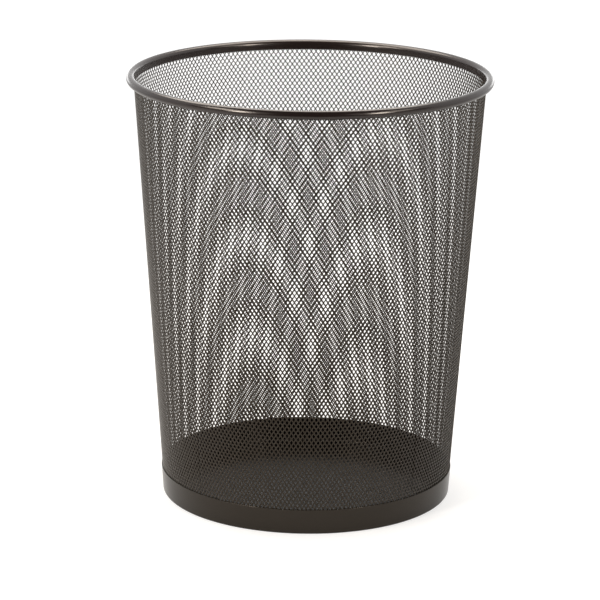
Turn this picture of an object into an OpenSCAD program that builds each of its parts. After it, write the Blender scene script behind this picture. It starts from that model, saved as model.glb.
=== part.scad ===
// Mesh wastebasket: a cone of expanded steel mesh, held between a rolled rim and a solid base.
// Millimetres, +Z up. The origin is on the ground at the centre of the base.

/* [Overall] */
// Outer diameter of the rim, the widest part
rim_od = 300; // [240:1:400]
// Outer diameter of the base band where it meets the ground
base_od = 241; // [160:1:300]
// Height from the ground to the top of the rim
total_h = 355; // [200:1:500]

/* [Rolled rim] */
// Diameter of the tube that the rim's sheet is rolled into
tube_d = 7.2; // [5:0.1:12]
// Thickness of the rim's sheet
rim_sheet = 0.5; // [0.4:0.05:0.8]
// Reach of the rim's inner lip below the centre of the tube
lip_drop = 4.4; // [3:0.1:12]

/* [Mesh wall] */
// Thickness of the flattened expanded mesh
mesh_t = 0.8; // [0.5:0.05:1.2]
// Clearance on each face of the mesh where other sheets trap it
seat_gap = 0.1; // [0.05:0.05:0.2]
// Number of diamonds in each row round the wall
diamonds_round = 20; // [14:1:30]
// Number of rows of whole diamonds between the band and the rim
diamond_rows = 7; // [5:1:14]
// Width of the strands between neighbouring diamonds
strand_w = 9; // [4:0.5:12]

/* [Base band] */
// Height of the band from the ground
band_h = 21; // [12:1:60]
// Thickness of the band's sheet
band_sheet = 0.5; // [0.4:0.05:0.8]
// Outer radius of the bend at the band's bottom edge
band_bend_r = 1.3; // [1:0.1:3]
// Width of the flange that the band turns in under the floor
flange_w = 7; // [5:0.5:20]

/* [Base pan] */
// Height of the pan's upturned wall from the ground
pan_h = 21; // [12:1:60]
// Thickness of the pan's sheet
pan_sheet = 0.6; // [0.4:0.05:1]
// Outer radius of the bend between the pan's floor and its wall
pan_bend_r = 2.4; // [1.8:0.1:4]

/* [Hidden] */

// Facets round the circle, and steps in a bend
$fn = 180;
bend_steps = 8;

// Paint as it looks on solid sheet and on the mesh
sheet_paint = [0.20, 0.19, 0.17];
mesh_paint = [0.26, 0.25, 0.23];

// Centre of the rolled tube's section
tube_r = rim_od / 2 - tube_d / 2;
tube_z = total_h - tube_d / 2;

// Outer face of the mesh at the ground, inside the band's sheet
mesh_base_r = base_od / 2 - band_sheet - seat_gap;
// Outer face of the mesh at the tube's centre, where its inner face lies against the rim's lip
mesh_top_r = rim_od / 2 - tube_d + rim_sheet + seat_gap + mesh_t;

// How much the wall's radius grows for each millimetre of height, and its lean from upright
wall_slope = (mesh_top_r - mesh_base_r) / tube_z;
wall_lean = atan(wall_slope);

// The mesh stands on top of the band's bend and ends inside the tube, level with its centre
mesh_low_z = band_bend_r;
mesh_high_z = tube_z;

// The diamonds fill the wall between the band and the rim, half a strand clear of each
diamonds_low_z = max(band_h, pan_h) + strand_w / 2;
diamonds_high_z = tube_z - max(lip_drop, tube_d / 2) - strand_w / 2;
row_step = (diamonds_high_z - diamonds_low_z) / (diamond_rows + 1);

// Faces of the other sheets, measured outwards from the outer face of the mesh
inner_face = -mesh_t - seat_gap;
band_face = seat_gap + band_sheet;

// Radius of the mesh's outer face at height z
function wall_r(z) = mesh_base_r + wall_slope * z;

// Points of an arc about [r, z], from one angle to another
function arc(r, z, radius, from, to) =
    [for (i = [0:bend_steps])
        let (a = from + (to - from) * i / bend_steps)
        [r + radius * cos(a), z + radius * sin(a)]];

// Section of a straight sheet that follows the wall, with its outer face at the given offset
module wall_strip(face, sheet, low_z, high_z) {
    polygon([
        [wall_r(low_z) + face - sheet, low_z],
        [wall_r(low_z) + face, low_z],
        [wall_r(high_z) + face, high_z],
        [wall_r(high_z) + face - sheet, high_z],
    ]);
}

// Section of a sheet that lies flat from inner_r outwards, then bends up to follow the wall
module bent_sheet(face, sheet, floor_z, bend_r, top_z, inner_r) {
    bend_z = floor_z + bend_r;
    bend_centre_r = wall_r(bend_z) + face - bend_r / cos(wall_lean);
    polygon(concat(
        [[inner_r, floor_z]],
        arc(bend_centre_r, bend_z, bend_r, -90, -wall_lean),
        [[wall_r(top_z) + face, top_z]],
        [[wall_r(top_z) + face - sheet / cos(wall_lean), top_z]],
        arc(bend_centre_r, bend_z, bend_r - sheet, -wall_lean, -90),
        [[inner_r, floor_z + sheet]]
    ));
}

// Outline of one diamond at radius r: its cell on the wall, less half a strand along each side.
// A half diamond has only its upper or its lower point.
module diamond(r, upper, lower) {
    cell_w = PI * r / diamonds_round;
    cell_inradius = cell_w * row_step / norm([cell_w, row_step]);
    share = 1 - strand_w / 2 / cell_inradius;
    polygon(share * concat(
        [[cell_w, 0]],
        upper ? [[0, row_step]] : [],
        [[-cell_w, 0]],
        lower ? [[0, -row_step]] : []
    ));
}

// A row of diamonds, cut straight through the wall: half diamonds in the lowest and the highest
// row, and each row half a diamond round from the one below it. Each cut reaches past the wall's
// slope over half a diamond's height and its curve over half a diamond's width.
module diamond_row(row) {
    z = diamonds_low_z + row * row_step;
    r = wall_r(z);
    cut = wall_slope * row_step + r * (1 - cos(180 / diamonds_round)) + 2 * mesh_t;
    for (i = [0:diamonds_round - 1])
        rotate((i + (row % 2) / 2) * 360 / diamonds_round)
            translate([r - cut, 0, z])
                rotate([90, 0, 90])
                    linear_extrude(2 * cut)
                        diamond(r, row <= diamond_rows, row > 0);
}

// Expanded mesh rolled into a cone: a coarse lattice of diamonds
module mesh_wall() {
    color(mesh_paint)
        difference() {
            rotate_extrude()
                wall_strip(0, mesh_t, mesh_low_z, mesh_high_z);
            for (row = [0:diamond_rows + 1])
                diamond_row(row);
        }
}

// Strip rolled into a hollow tube: its edge curls round to the mesh's outer face,
// and its other edge runs down the mesh's inner face as a lip
module rolled_rim() {
    color(sheet_paint)
        rotate_extrude()
            difference() {
                union() {
                    translate([tube_r, tube_z])
                        difference() {
                            circle(d = tube_d);
                            circle(d = tube_d - 2 * rim_sheet);
                        }
                    wall_strip(inner_face, rim_sheet, tube_z - lip_drop, tube_z);
                }
                wall_strip(seat_gap, mesh_t + 2 * seat_gap, tube_z - tube_d, mesh_high_z + seat_gap);
            }
}

// Pressed floor with an upturned wall that stands inside the mesh
module base_pan() {
    color(sheet_paint)
        rotate_extrude()
            bent_sheet(inner_face, pan_sheet, band_sheet, pan_bend_r, pan_h, 0);
}

// Band round the outside of the mesh, turned in under the pan so that the floor rests on it
module base_band() {
    color(sheet_paint)
        rotate_extrude()
            bent_sheet(band_face, band_sheet, 0, band_bend_r, band_h, base_od / 2 - flange_w);
}

mesh_wall();
rolled_rim();
base_pan();
base_band();
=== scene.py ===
"""Mesh wastebasket: a cone of expanded steel mesh between a rolled rim and a pressed base.

Metres, +Z up. Angles round the basket start at the front, -Y, and grow towards +X.
"""

import math

import bmesh
import bpy
from mathutils import Matrix, Vector

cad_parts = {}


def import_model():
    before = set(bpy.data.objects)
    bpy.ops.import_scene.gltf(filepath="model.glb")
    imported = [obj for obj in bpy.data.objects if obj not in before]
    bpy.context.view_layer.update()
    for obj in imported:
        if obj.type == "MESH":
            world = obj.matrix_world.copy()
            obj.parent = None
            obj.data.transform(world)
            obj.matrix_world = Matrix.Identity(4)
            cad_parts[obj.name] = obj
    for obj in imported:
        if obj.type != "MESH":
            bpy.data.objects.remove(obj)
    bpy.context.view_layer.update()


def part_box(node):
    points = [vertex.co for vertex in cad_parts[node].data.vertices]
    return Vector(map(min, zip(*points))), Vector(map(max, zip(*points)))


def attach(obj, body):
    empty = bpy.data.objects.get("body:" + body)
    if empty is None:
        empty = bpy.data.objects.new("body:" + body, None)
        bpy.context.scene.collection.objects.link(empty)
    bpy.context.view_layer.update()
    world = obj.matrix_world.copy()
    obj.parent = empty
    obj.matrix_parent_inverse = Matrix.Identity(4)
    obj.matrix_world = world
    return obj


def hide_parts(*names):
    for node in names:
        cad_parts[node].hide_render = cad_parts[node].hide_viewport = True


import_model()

MM = 0.001

# ---------------------------------------------------------------------------
# Sizes that the frame gives
# ---------------------------------------------------------------------------

mesh_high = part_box("mesh_wall")[1]
rim_low, rim_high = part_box("rolled_rim")
pan_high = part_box("base_pan")[1]
band_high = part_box("base_band")[1]

# Sheet thicknesses and the clearance between the mesh and the sheets that trap it
MESH_T = 0.8 * MM
RIM_SHEET = 0.5 * MM
BAND_SHEET = 0.5 * MM
PAN_SHEET = 0.6 * MM
SEAT_GAP = 0.1 * MM

# The rim's tube: the mesh ends level with its centre
TUBE_RADIUS = rim_high.z - mesh_high.z
TUBE_R = rim_high.x - TUBE_RADIUS
TUBE_Z = mesh_high.z

# The mesh's outer face runs straight from inside the band's top edge to inside the tube
WALL_LOW_Z = band_high.z
WALL_LOW_R = band_high.x - BAND_SHEET - SEAT_GAP
WALL_SLOPE = (mesh_high.x - WALL_LOW_R) / (mesh_high.z - WALL_LOW_Z)
WALL_LEAN = math.atan(WALL_SLOPE)

# Bends of the pressed sheets, and how near the centre the band's flange comes, under the pan
BAND_BEND = 1.3 * MM
PAN_BEND = 2.4 * MM
FLANGE_R = 113.5 * MM

# How far below the tube's centre its curl meets the mesh, as a share of its radius
CURL_END = 0.8

# Expanded mesh, stretched wider and shorter towards the rim, and twisted a little as it was rolled.
# The bonds' sizes are at the rim, and grow by a share towards the ground.
DIAMONDS_ROUND = 220
DIAMOND_H_AT_GROUND = 5.7417 * MM
DIAMOND_H_AT_RIM = 5.5195 * MM
FIRST_BOND_Z = 4.576 * MM
LATTICE_TURN = math.radians(0.0262)
LATTICE_TWIST = math.radians(0.3515)
BOND_HALF_W = 0.55 * MM
BOND_HALF_H = 0.82 * MM
BOND_SIDE = 0.15 * MM
GROWTH_AT_GROUND = 1.35
STRAND_T = 0.42 * MM
STRAND_EDGE = 0.09 * MM
BOND_TILT = 0.2
SECTORS = 8

# Steps round the basket, and in each arc of a sheet's section
STEPS_ROUND = 360
TUBE_STEPS = 56
TUBE_INSIDE_STEPS = 20
BEND_STEPS = 14
BEND_INSIDE_STEPS = 10
RIM_EDGE_STEPS = 6
TOP_EDGE_STEPS = 10
FLANGE_EDGE_STEPS = 8
PAN_RINGS = 6

# Points of a mesh closer than this become one
STRAND_WELD = 0.004 * MM
SHEET_WELD = 0.002 * MM


def wall_r(z):
    """Radius of the mesh's outer face at height z."""
    return WALL_LOW_R + WALL_SLOPE * (z - WALL_LOW_Z)


# ---------------------------------------------------------------------------
# Node trees written as expressions
# ---------------------------------------------------------------------------


class Sock:
    """A node's output. Arithmetic on it adds Math nodes to its tree."""

    def __init__(self, maker, socket):
        self.maker = maker
        self.socket = socket

    def out(self, name):
        """Another output of the same node."""
        return Sock(self.maker, self.socket.node.outputs[name])

    def math(self, operation, *others):
        values = {i: v for i, v in enumerate((self, *others))}
        return self.maker.node("ShaderNodeMath", values, operation=operation)

    def __add__(self, other):
        return self.math("ADD", other)

    def __sub__(self, other):
        return self.math("SUBTRACT", other)

    def __mul__(self, other):
        return self.math("MULTIPLY", other)

    def __truediv__(self, other):
        return self.math("DIVIDE", other)

    def __rsub__(self, other):
        return self.maker.node("ShaderNodeMath", {0: other, 1: self}, operation="SUBTRACT")

    def __rtruediv__(self, other):
        return self.maker.node("ShaderNodeMath", {0: other, 1: self}, operation="DIVIDE")

    __radd__ = __add__
    __rmul__ = __mul__


class Maker:
    """Adds nodes to one tree."""

    def __init__(self, tree):
        self.tree = tree

    def node(self, kind, inputs=None, output=0, stops=None, **settings):
        """Adds a node, with its settings first and then its sockets' values or links."""
        node = self.tree.nodes.new(kind)
        for name, value in settings.items():
            setattr(node, name, value)
        if stops:
            ramp = node.color_ramp
            while len(ramp.elements) < len(stops):
                ramp.elements.new(1.0)
            for element, (place, colour) in zip(ramp.elements, stops):
                element.position = place
                element.color = (*colour, 1.0)
        for name, value in (inputs or {}).items():
            self.feed(node.inputs[name], value)
        return Sock(self, node.outputs[output]) if node.outputs else node

    def feed(self, socket, value):
        if isinstance(value, Sock):
            self.tree.links.new(value.socket, socket)
        else:
            socket.default_value = value


# ---------------------------------------------------------------------------
# Finishes
# ---------------------------------------------------------------------------

PEEL_DEPTH = 0.05 * MM
WARM_SHEEN = (1.0, 0.88, 0.76)
ROSY_SHEEN = (1.0, 0.94, 0.90)


def powder_coat(name, colour, worn, roughness, gloss, peel, tint):
    """Satin powder coat with orange peel, faintly mottled from its colour to its worn shade."""
    material = bpy.data.materials.new(name)
    material.use_nodes = True
    tree = material.node_tree
    make = Maker(tree)
    shader = tree.nodes["Principled BSDF"]
    place = make.node("ShaderNodeTexCoord").out("Object")

    def noise(scale, detail, offset=0.0):
        moved = make.node(
            "ShaderNodeMapping",
            {"Vector": place, "Location": (offset, 1.7 * offset, 0.6 * offset)},
        )
        return make.node(
            "ShaderNodeTexNoise",
            {"Vector": moved, "Scale": scale, "Detail": detail, "Roughness": 0.55},
            output="Fac",
        )

    # Scales in cells a metre: a broad mottle, specks of about 1 mm, and the grain of the spray
    mottle = noise(18.0, 2.0)
    speck = noise(900.0, 2.0, 3.0)
    grain = noise(2600.0, 1.0, 5.0)
    mix = mottle * 0.6 + speck * 0.4
    tone = make.node(
        "ShaderNodeMix",
        {0: mix, 6: (*colour, 1.0), 7: (*worn, 1.0)},
        output=2,
        data_type="RGBA",
    )
    make.feed(shader.inputs["Base Color"], tone)
    half_spread = 0.05
    make.feed(shader.inputs["Roughness"], roughness - half_spread + mix * (2 * half_spread))
    height = speck * 0.7 + grain * 0.3
    bump = make.node(
        "ShaderNodeBump",
        {"Strength": peel, "Distance": PEEL_DEPTH, "Height": height},
    )
    make.feed(shader.inputs["Normal"], bump)
    shader.inputs["IOR"].default_value = 1.5
    shader.inputs["Specular IOR Level"].default_value = gloss
    shader.inputs["Specular Tint"].default_value = (*tint, 1.0)
    return material


mesh_paint = powder_coat(
    "mesh_powder_coat",
    colour=(0.0115, 0.0088, 0.0060),
    worn=(0.0170, 0.0130, 0.0090),
    roughness=0.28,
    gloss=0.42,
    peel=0.25,
    tint=WARM_SHEEN,
)
rim_paint = powder_coat(
    "rim_powder_coat",
    colour=(0.010, 0.0066, 0.0060),
    worn=(0.015, 0.0100, 0.0094),
    roughness=0.20,
    gloss=0.6,
    peel=0.2,
    tint=ROSY_SHEEN,
)
# Painted shade: the pan's paint is a much darker copy of the band's, standing in for the shade inside
# the basket
pan_paint_painted_shade = powder_coat(
    "pan_powder_coat_painted_shade",
    colour=(0.002, 0.0016, 0.0012),
    worn=(0.004, 0.0032, 0.0024),
    roughness=0.22,
    gloss=0.18,
    peel=0.3,
    tint=WARM_SHEEN,
)
base_paint = powder_coat(
    "base_powder_coat",
    colour=(0.0102, 0.0084, 0.0066),
    worn=(0.0138, 0.0113, 0.0090),
    roughness=0.18,
    gloss=0.43,
    peel=0.3,
    tint=WARM_SHEEN,
)


# ---------------------------------------------------------------------------
# Expanded mesh
# ---------------------------------------------------------------------------


class DiamondCell:
    """One strand of expanded mesh with half of the bond that it rises from, and the faces that close
    the mesh's ends. A vertex's position is its bond on the lattice, in half diamonds. Its reach is how
    far it lies from that bond: across, up, and outwards in half thicknesses."""

    # Parts of the cell, each followed by its mirror image
    STRAND, LAST_ROW, FIRST_ROW, SIDE = 0, 2, 4, 6

    def __init__(self):
        self.places = []
        self.reaches = []
        self.parts = []
        self.faces = []
        self.known = {}
        for mirrored in (0, 1):
            self.mirrored = mirrored
            foot, low, high, crown = (0, 0, 0, -1), (0, 0, 1, -1), (0, 0, 1, 1), (0, 0, 0, 1)
            next_foot, next_low = (1, 1, 0, -1), (1, 1, -1, -1)
            self.part = self.STRAND + mirrored
            self.plate(foot, low, high, crown)
            self.plate(crown, high, next_foot, next_low)
            self.side(low, high)
            self.side(high, next_foot)
            self.side(next_low, crown)
            self.part = self.LAST_ROW + mirrored
            self.plate(foot, low, high, crown)
            self.side(low, high)
            self.side(high, crown)
            self.part = self.FIRST_ROW + mirrored
            self.side(foot, low)
            self.part = self.SIDE + mirrored
            self.side(crown, foot)

    def vertex(self, corner, ring):
        """Index of a bond's corner on the outer face (ring 1), the middle (0) or the inner face (-1)."""
        column, row, across, up = corner
        key = (self.part, corner, ring)
        if key not in self.known:
            inset = STRAND_EDGE if ring else 0.0
            reach_x = across * (BOND_HALF_W - inset)
            reach_z = up * (BOND_SIDE if across else BOND_HALF_H - inset)
            if self.mirrored:
                column, reach_x = 1 - column, -reach_x
            self.known[key] = len(self.places)
            self.places.append((column, row, 0.0))
            self.reaches.append((reach_x, reach_z, ring))
            self.parts.append(self.part)
        return self.known[key]

    def face(self, corners):
        face = [self.vertex(corner, ring) for corner, ring in corners]
        self.faces.append(face[::-1] if self.mirrored else face)

    def plate(self, *corners):
        self.face([(corner, 1) for corner in corners])
        self.face([(corner, -1) for corner in reversed(corners)])

    def side(self, start, end):
        for upper, lower in ((1, 0), (0, -1)):
            self.face([(end, upper), (start, upper), (start, lower), (end, lower)])

    def mesh(self, name):
        mesh = bpy.data.meshes.new(name)
        mesh.from_pydata(self.places, [], self.faces)
        reach = mesh.attributes.new("reach", "FLOAT_VECTOR", "POINT")
        reach.data.foreach_set("vector", [value for point in self.reaches for value in point])
        part = mesh.attributes.new("part", "INT", "POINT")
        part.data.foreach_set("value", self.parts)
        return mesh


def mesh_tree():
    """Repeats the cell over part of the wall, wraps it round the cone and welds it."""
    tree = bpy.data.node_groups.new("Expanded mesh", "GeometryNodeTree")
    make = Maker(tree)
    sockets = {"Geometry": "NodeSocketGeometry", "Material": "NodeSocketMaterial"}
    for name in ("First column", "Columns", "Rows", "Diamonds round"):
        sockets[name] = "NodeSocketInt"
    for name in (
        "Row height", "Row shrinkage", "First row z", "Radius at ground", "Slope",
        "Sheet thickness", "Strand thickness", "Growth at ground", "Growth", "Bond tilt",
        "Turn", "Twist",
    ):
        sockets[name] = "NodeSocketFloat"
    for name, kind in sockets.items():
        tree.interface.new_socket(name, in_out="INPUT", socket_type=kind)
    tree.interface.new_socket("Geometry", in_out="OUTPUT", socket_type="NodeSocketGeometry")
    given = make.node("NodeGroupInput")

    def value(name):
        return given.out(name)

    # One point for each step from a column to the next and each row, at whole numbers
    grid = make.node(
        "GeometryNodeMeshGrid",
        {
            "Size X": value("Columns") - 1,
            "Size Y": value("Rows"),
            "Vertices X": value("Columns"),
            "Vertices Y": value("Rows") + 1,
        },
    )
    place = make.node("GeometryNodeInputPosition")
    split = make.node("ShaderNodeSeparateXYZ", {"Vector": place})
    column = (split.out("X") + (value("Columns") - 1) * 0.5).math("ROUND")
    row = (split.out("Y") + value("Rows") * 0.5).math("ROUND")
    lattice = make.node("ShaderNodeCombineXYZ", {"X": column + value("First column"), "Y": row})
    points = make.node("GeometryNodeSetPosition", {"Geometry": grid, "Position": lattice})

    # After that the points hold their lattice place, from which each part picks its own
    column = split.out("X") - value("First column")
    row = split.out("Y")
    odd = (split.out("X") + row).math("FLOORED_MODULO", 2.0).math("ROUND")

    def same(a, b):
        """1 where two whole numbers agree, with room for rounding."""
        return a.math("COMPARE", b, 0.25)

    is_last_row = same(row, value("Rows"))
    ends = (same(column, 0), same(column, value("Columns") - 1))
    part = make.node("GeometryNodeInputNamedAttribute", {"Name": "part"}, data_type="INT")
    joined = make.node("GeometryNodeJoinGeometry")
    for mirrored in (0, 1):
        on_lattice = odd if mirrored else 1 - odd
        picks = {
            DiamondCell.STRAND: on_lattice * (1 - is_last_row),
            DiamondCell.LAST_ROW: on_lattice * is_last_row,
            DiamondCell.FIRST_ROW: on_lattice * same(row, 0),
            DiamondCell.SIDE: on_lattice * ends[mirrored],
        }
        for number, pick in picks.items():
            own = make.node(
                "GeometryNodeSeparateGeometry",
                {"Geometry": value("Geometry"), "Selection": same(part, number + mirrored)},
            )
            copies = make.node(
                "GeometryNodeInstanceOnPoints",
                {"Points": points, "Selection": pick, "Instance": own},
            )
            tree.links.new(copies.socket, joined.socket.node.inputs[0])
    real = make.node("GeometryNodeRealizeInstances", {"Geometry": joined})

    # Wrap the lattice round the cone
    reach = make.node("GeometryNodeInputNamedAttribute", {"Name": "reach"}, data_type="FLOAT_VECTOR")
    reach = make.node("ShaderNodeSeparateXYZ", {"Vector": reach})
    row_step = value("Row height") - split.out("Y") * value("Row shrinkage")
    bond_z = split.out("Y") * row_step + value("First row z")
    growth = value("Growth at ground") + bond_z * value("Growth")
    height = bond_z + reach.out("Y") * growth
    face = height * value("Slope") + value("Radius at ground")
    middle = face - value("Sheet thickness") * 0.5
    across = reach.out("X") * growth
    outwards = reach.out("Z") * value("Strand thickness") * 0.5 - across * value("Bond tilt")
    radius = middle + outwards
    step = math.pi / value("Diamonds round")
    from_start = split.out("X") * step + across / middle
    angle = from_start + value("Turn") + height * value("Twist")
    wrapped = make.node(
        "ShaderNodeCombineXYZ",
        {"X": radius * angle.math("SINE"), "Y": radius * angle.math("COSINE") * -1.0, "Z": height},
    )

    # Lay the sector out flat for its bake, with the outer and inner faces a little apart
    faces_apart, margin = 0.02, 0.005
    columns_along = from_start / step - value("First column") + reach.out("Z") * faces_apart
    share_u = columns_along / (value("Columns") + 1)
    share_v = height / (value("Rows") * value("Row height") + value("First row z") * 2.0)
    share = make.node("ShaderNodeCombineXYZ", {"X": share_u + margin, "Y": share_v})
    mapped = make.node(
        "GeometryNodeStoreNamedAttribute",
        {"Geometry": real, "Name": "OFBake", "Value": share},
        data_type="FLOAT2",
        domain="CORNER",
    )
    cone = make.node("GeometryNodeSetPosition", {"Geometry": mapped, "Position": wrapped})
    welded = make.node("GeometryNodeMergeByDistance", {"Geometry": cone, "Distance": STRAND_WELD})
    for name in ("reach", "part"):
        welded = make.node("GeometryNodeRemoveAttribute", {"Geometry": welded, "Name": name})
    smooth = make.node("GeometryNodeSetShadeSmooth", {"Geometry": welded})
    painted = make.node(
        "GeometryNodeSetMaterial", {"Geometry": smooth, "Material": value("Material")}
    )
    make.node("NodeGroupOutput", {"Geometry": painted})
    return tree


def mesh_sectors():
    """The wall as sectors that meet along the middle of their bonds."""
    cell = DiamondCell().mesh("diamond_cell")
    tree = mesh_tree()
    columns = 2 * DIAMONDS_ROUND // SECTORS
    row_h = DIAMOND_H_AT_GROUND / 2
    mean_row_h = (DIAMOND_H_AT_GROUND + DIAMOND_H_AT_RIM) / 4
    rows = int((mesh_high.z - BOND_HALF_H - FIRST_BOND_Z) / mean_row_h)
    sectors = []
    for number in range(SECTORS):
        sector = bpy.data.objects.new(f"mesh_sector_{number + 1}", cell)
        bpy.context.scene.collection.objects.link(sector)
        modifier = sector.modifiers.new("Expanded mesh", "NODES")
        modifier.node_group = tree
        values = {
            "First column": number * columns,
            "Columns": columns,
            "Rows": rows,
            "Diamonds round": DIAMONDS_ROUND,
            "Row height": row_h,
            "Row shrinkage": (row_h - mean_row_h) / rows,
            "First row z": FIRST_BOND_Z,
            "Radius at ground": wall_r(0),
            "Slope": WALL_SLOPE,
            "Strand thickness": STRAND_T,
            "Growth at ground": GROWTH_AT_GROUND,
            "Growth": (1 - GROWTH_AT_GROUND) / mesh_high.z,
            "Sheet thickness": MESH_T,
            "Bond tilt": BOND_TILT,
            "Turn": LATTICE_TURN,
            "Twist": LATTICE_TWIST / mesh_high.z,
            "Material": mesh_paint,
        }
        for item in tree.interface.items_tree:
            if item.in_out == "INPUT" and item.name in values:
                modifier[item.identifier] = values[item.name]
        sectors.append(sector)
    graph = bpy.context.evaluated_depsgraph_get()
    for sector in sectors:
        plain = bpy.data.meshes.new_from_object(sector.evaluated_get(graph))
        plain.name = sector.name
        sector.modifiers.clear()
        sector.data = plain
        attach(sector, "root")
        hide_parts("mesh_wall")


# ---------------------------------------------------------------------------
# Sheet pieces of revolution
# ---------------------------------------------------------------------------


def arc(centre, radius, start, end, steps):
    """Points of an arc in the r, z plane. Angles in degrees, from outwards towards up."""
    points = []
    for step in range(steps + 1):
        angle = math.radians(start + (end - start) * step / steps)
        points.append((centre[0] + radius * math.cos(angle), centre[1] + radius * math.sin(angle)))
    return points


def revolve(name, section, material):
    """A closed section, anticlockwise in the r, z plane, turned about the Z axis."""
    verts = []
    for turn in range(STEPS_ROUND):
        angle = 2 * math.pi * turn / STEPS_ROUND
        verts += [(r * math.sin(angle), -r * math.cos(angle), z) for r, z in section]
    count = len(section)
    faces = []
    for turn in range(STEPS_ROUND):
        here, there = turn * count, (turn + 1) % STEPS_ROUND * count
        for point in range(count):
            after = (point + 1) % count
            faces.append((here + point, there + point, there + after, here + after))
    mesh = bpy.data.meshes.new(name)
    mesh.from_pydata(verts, [], faces)
    body = bmesh.new()
    body.from_mesh(mesh)
    bmesh.ops.remove_doubles(body, verts=body.verts, dist=SHEET_WELD)
    for face in body.faces:
        face.smooth = True
    body.to_mesh(mesh)
    body.free()
    mesh.materials.append(material)
    piece = bpy.data.objects.new(name, mesh)
    bpy.context.scene.collection.objects.link(piece)
    return piece


def rim_section():
    """The rim's sheet: a lip inside the mesh, then the tube, curled until it meets the mesh."""
    lip_face = -MESH_T - SEAT_GAP - RIM_SHEET
    lip_low = (wall_r(rim_low.z) + lip_face, rim_low.z)
    centre = (TUBE_R, TUBE_Z)
    edge = RIM_SHEET / 2
    end_reach = TUBE_R - wall_r(TUBE_Z - CURL_END * TUBE_RADIUS) - SEAT_GAP
    end_angle = -180 + math.degrees(math.acos(end_reach / TUBE_RADIUS))
    outside = arc(centre, TUBE_RADIUS, 180, end_angle, TUBE_STEPS)
    inside = arc(centre, TUBE_RADIUS - RIM_SHEET, end_angle, 180, TUBE_INSIDE_STEPS)
    tip = (
        TUBE_R + (TUBE_RADIUS - edge) * math.cos(math.radians(end_angle)),
        TUBE_Z + (TUBE_RADIUS - edge) * math.sin(math.radians(end_angle)),
    )
    tip_edge = arc(tip, edge, end_angle, end_angle - 180, RIM_EDGE_STEPS)[1:-1]
    foot = (lip_low[0] + edge, lip_low[1] + edge)
    foot_edge = arc(foot, edge, 0, -180, RIM_EDGE_STEPS)
    loop = outside + tip_edge + inside + foot_edge
    return loop[::-1]


def bent_section(face, sheet, floor_z, bend, top_z, inner_r):
    """A sheet that lies flat from inner_r outwards, then bends up to follow the wall."""
    lean = math.degrees(WALL_LEAN)
    bend_z = floor_z + bend
    centre = (wall_r(bend_z) + face - bend / math.cos(WALL_LEAN), bend_z)
    edge = sheet / 2
    outer_bend = arc(centre, bend, -90, -lean, BEND_STEPS)
    inner_bend = arc(centre, bend - sheet, -lean, -90, BEND_INSIDE_STEPS)
    top = (wall_r(top_z - edge) + face - edge / math.cos(WALL_LEAN), top_z - edge)
    top_edge = arc(top, edge, -lean, 180 - lean, TOP_EDGE_STEPS)
    if inner_r:
        floor = arc((inner_r + edge, floor_z + edge), edge, 90, 270, FLANGE_EDGE_STEPS)
    else:
        rings = [ring / PAN_RINGS for ring in range(PAN_RINGS + 1)]
        reach = centre[0]
        top_face = [(reach * (1 - share), floor_z + sheet) for share in rings[1:]]
        low_face = [(reach * share, floor_z) for share in rings[:-1]]
        floor = top_face + low_face
    return outer_bend + top_edge + inner_bend + floor


def sheet_pieces():
    inner_face = -MESH_T - SEAT_GAP
    band_face = SEAT_GAP + BAND_SHEET
    pan_section = bent_section(inner_face, PAN_SHEET, BAND_SHEET, PAN_BEND, pan_high.z, 0)
    band_section = bent_section(band_face, BAND_SHEET, 0, BAND_BEND, band_high.z, FLANGE_R)
    rim = revolve("rim_roll", rim_section(), rim_paint)
    pan = revolve("floor_pan", pan_section, pan_paint_painted_shade)
    band = revolve("bottom_band", band_section, base_paint)
    for piece, node, slot in (
        (rim, "rolled_rim", "rim"),
        (pan, "base_pan", "base"),
        (band, "base_band", "base"),
    ):
        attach(piece, "root")
        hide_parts(node)


# ---------------------------------------------------------------------------
# Studio
# ---------------------------------------------------------------------------


def camera():
    data = bpy.data.cameras.new("camera")
    data.lens = 178.43
    data.sensor_width = 36.0
    data.clip_start = 0.1
    data.clip_end = 50.0
    place = Vector((-0.0065, -2.3834, 0.8344))
    pitch, roll = 0.2747, 0.0100
    view = bpy.data.objects.new("camera", data)
    bpy.context.scene.collection.objects.link(view)
    tilt = Matrix.Rotation(math.pi / 2 - pitch, 4, "X")
    view.matrix_world = Matrix.Translation(place) @ tilt @ Matrix.Rotation(roll, 4, "Z")
    bpy.context.scene.camera = view


def seen_directly(make, in_reflections):
    """1 for rays from the camera and transmitted ones, and the given share for reflected ones."""
    path = make.node("ShaderNodeLightPath")
    straight = path.out("Is Camera Ray").math("MAXIMUM", path.out("Is Transmission Ray"))
    return straight + path.out("Is Glossy Ray") * in_reflections


def world():
    scene_world = bpy.data.worlds.new("studio")
    bpy.context.scene.world = scene_world
    scene_world.use_nodes = True
    make = Maker(scene_world.node_tree)
    as_fill, as_seen = 0.75, 1.0
    seen = seen_directly(make, in_reflections=1.0)
    strength = make.node("ShaderNodeMix", {0: seen, 2: as_fill, 3: as_seen}, data_type="FLOAT")
    background = scene_world.node_tree.nodes["Background"]
    background.inputs["Color"].default_value = (1, 1, 1, 1)
    make.feed(background.inputs["Strength"], strength)


def plane(name, corners, material):
    mesh = bpy.data.meshes.new(name)
    mesh.from_pydata(corners, [], [(0, 1, 2, 3)])
    mesh.materials.append(material)
    piece = bpy.data.objects.new(name, mesh)
    bpy.context.scene.collection.objects.link(piece)
    return piece


def level(name, half_width, front, back, z, material):
    """A horizontal rectangle of the studio."""
    near = [(-half_width, front, z), (half_width, front, z)]
    far = [(half_width, back, z), (-half_width, back, z)]
    return plane(name, near + far, material)


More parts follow.
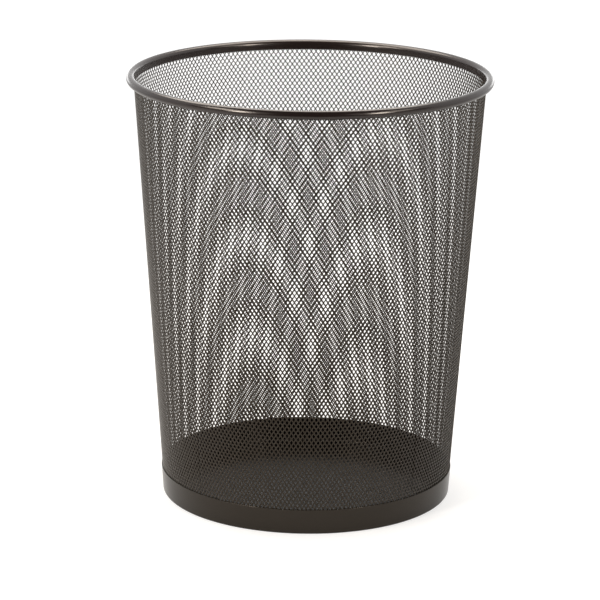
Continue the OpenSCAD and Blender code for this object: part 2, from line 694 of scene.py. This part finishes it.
def floor():
    """Pale paper that glows a little, so that it looks white, and less so in reflections."""
    material = bpy.data.materials.new("floor_paper")
    material.use_nodes = True
    tree = material.node_tree
    make = Maker(tree)
    tree.nodes.remove(tree.nodes["Principled BSDF"])
    paper = make.node("ShaderNodeBsdfDiffuse", {"Color": (0.5, 0.5, 0.5, 1)})

    # Painted shadow: the glow is turned down in a soft patch on the side away from the camera, narrower
    # than the basket, standing in for the basket's shadow there
    shade_y, squeeze = 0.28, 1.8
    place = make.node("ShaderNodeTexCoord").out("Object")
    moved = make.node(
        "ShaderNodeMapping",
        {"Vector": place, "Location": (0, -shade_y, 0), "Scale": (squeeze, 1, 1)},
    )
    away = make.node("ShaderNodeVectorMath", {0: moved}, output="Value", operation="LENGTH")
    glow_with_painted_shadow = make.node(
        "ShaderNodeMapRange",
        {"Value": away, "From Min": 0.04, "From Max": 0.32, "To Min": 0.38, "To Max": 0.6},
        interpolation_type="SMOOTHSTEP",
    )
    strength = seen_directly(make, in_reflections=0.5) * glow_with_painted_shadow
    glow = make.node("ShaderNodeEmission", {"Color": (1, 1, 1, 1), "Strength": strength})
    both = make.node("ShaderNodeAddShader", {0: paper, 1: glow})
    make.feed(tree.nodes["Material Output"].inputs["Surface"], both)
    half, z = 4.0, -0.2 * MM
    level("floor", half, -half, half, z, material)


def dark_cloth(name):
    """Near-black cloth, and its shader."""
    material = bpy.data.materials.new(name)
    material.use_nodes = True
    shader = material.node_tree.nodes["Principled BSDF"]
    shader.inputs["Base Color"].default_value = (0.02, 0.02, 0.02, 1)
    return material, shader


def flags():
    """Dark cards in front of the basket, over it, at its sides and on the floor, for its paint to
    reflect. None of them looks dark to the camera."""
    cloth = dark_cloth("flag_cloth")[0]
    half_width, front, top = 1.6, -3.3, 2.6
    foot = 0.02
    low_edge = [(-half_width, front, foot), (half_width, front, foot)]
    high_edge = [(half_width, front, top), (-half_width, front, top)]
    screen = plane("flag", low_edge + high_edge, cloth)
    lid_back = 0.1
    lid = level("flag_top", half_width, front, lid_back, top, cloth)
    cards = [screen, lid]
    side_x, side_back, side_foot = 1.75, -0.45, 0.25
    for x in (-side_x, side_x):
        near = [(x, front, side_foot), (x, side_back, side_foot)]
        far = [(x, side_back, top), (x, front, top)]
        cards.append(plane("flag_side", near + far, cloth))
    for card in cards:
        card.visible_camera = False

    # The card on the floor looks like the floor to the camera
    floor_cloth, dark = dark_cloth("flag_floor_cloth")
    tree = floor_cloth.node_tree
    make = Maker(tree)
    white = make.node("ShaderNodeEmission", {"Color": (1, 1, 1, 1), "Strength": 1.0})
    seen = make.node("ShaderNodeLightPath").out("Is Camera Ray")
    cloth_or_white = make.node("ShaderNodeMixShader", {0: seen, 2: white})
    tree.links.new(dark.outputs["BSDF"], cloth_or_white.socket.node.inputs[1])
    make.feed(tree.nodes["Material Output"].inputs["Surface"], cloth_or_white)
    card_back = -0.75
    level("flag_floor", half_width, front, card_back, 0, floor_cloth)


def lamp(name, place, aim, size, power, colour):
    data = bpy.data.lights.new(name, "AREA")
    data.shape = "RECTANGLE"
    data.size, data.size_y = size
    data.energy = power
    data.color = colour
    light = bpy.data.objects.new(name, data)
    bpy.context.scene.collection.objects.link(light)
    light.location = place
    light.rotation_euler = (Vector(aim) - Vector(place)).to_track_quat("-Z", "Y").to_euler()
    light.visible_camera = False


def studio():
    camera()
    world()
    floor()
    flags()
    middle, rim, back_rim, backdrop = (0, 0, 0.2), (0, 0, 0.35), (-0.12, 0.30, 0.3), (0, 0, 0.33)
    warm, white = (1.0, 0.93, 0.84), (1, 1, 1)
    side_size, high_size = (0.35, 0.9), (0.5, 0.8)

    # Name, place, aim, size, power in watts, colour
    lamps = (
        ("left_box", (-1.4, -1.5, 0.9), middle, side_size, 25, warm),
        ("left_high_box", (-1.40, -0.80, 1.28), rim, high_size, 12, warm),
        ("right_high_box", (1.40, -0.80, 1.28), rim, high_size, 4, warm),
        ("right_box", (1.4, -1.5, 0.9), middle, side_size, 20, warm),
        ("top_back_box", (-0.12, 0.30, 0.9), back_rim, (0.9, 0.5), 8, warm),
        ("backdrop_glow", (0, 2.6, 0.33), backdrop, (3.4, 0.55), 10, white),
    )
    for settings in lamps:
        lamp(*settings)
    bpy.context.scene.view_settings.view_transform = "Standard"


mesh_sectors()
sheet_pieces()
studio()
